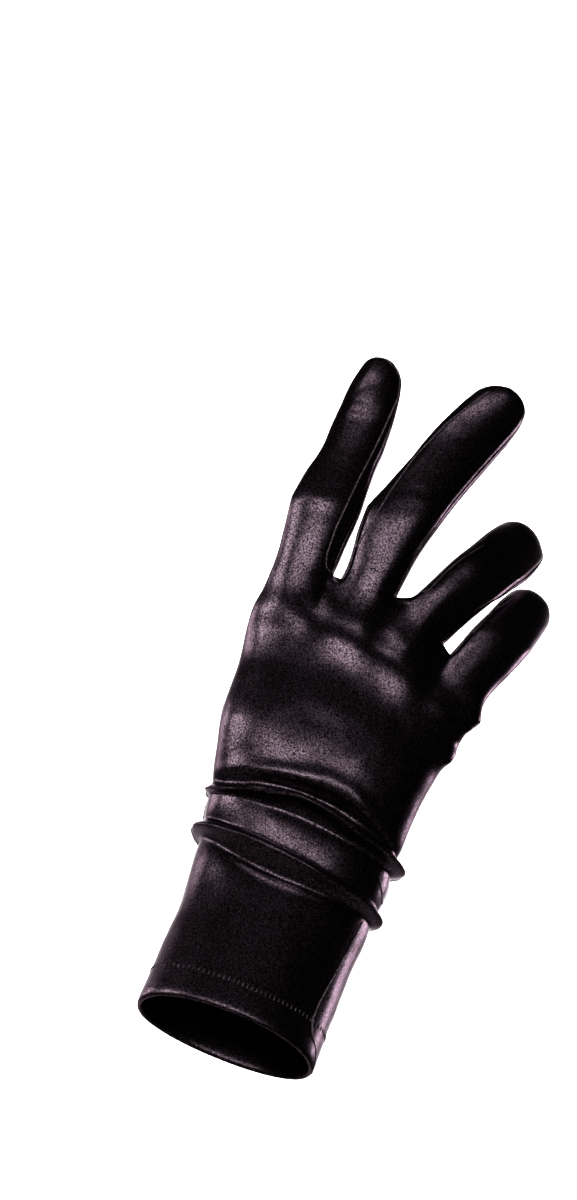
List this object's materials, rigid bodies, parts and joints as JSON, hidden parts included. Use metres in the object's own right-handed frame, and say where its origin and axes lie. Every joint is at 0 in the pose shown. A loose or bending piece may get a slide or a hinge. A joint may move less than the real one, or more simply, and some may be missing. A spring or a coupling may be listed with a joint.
{
  "type": "wrist length dress glove",
  "caption": "Right hand dress glove of thin stretch satin in its worn shape, with side strips between the fingers, a set-in thumb, two folds round the wrist and a stitched hem.",
  "frame": {"origin": "centre of the cuff's open end, where the wrist goes in, at the level of the hem", "axes": "+Z along the cuff from its open end towards the hand, +X towards the little finger's side, the back of the hand faces -Y and the palm +Y"},
  "size_m": [0.0969, 0.0688, 0.2453],
  "materials": {
    "satin": "satin"
  },
  "bodies": {
    "root": {"trank": "satin", "fourchette_index_middle": "satin", "fourchette_middle_ring": "satin", "fourchette_ring_little": "satin", "thumb": "satin"}
  },
  "joints": []
}
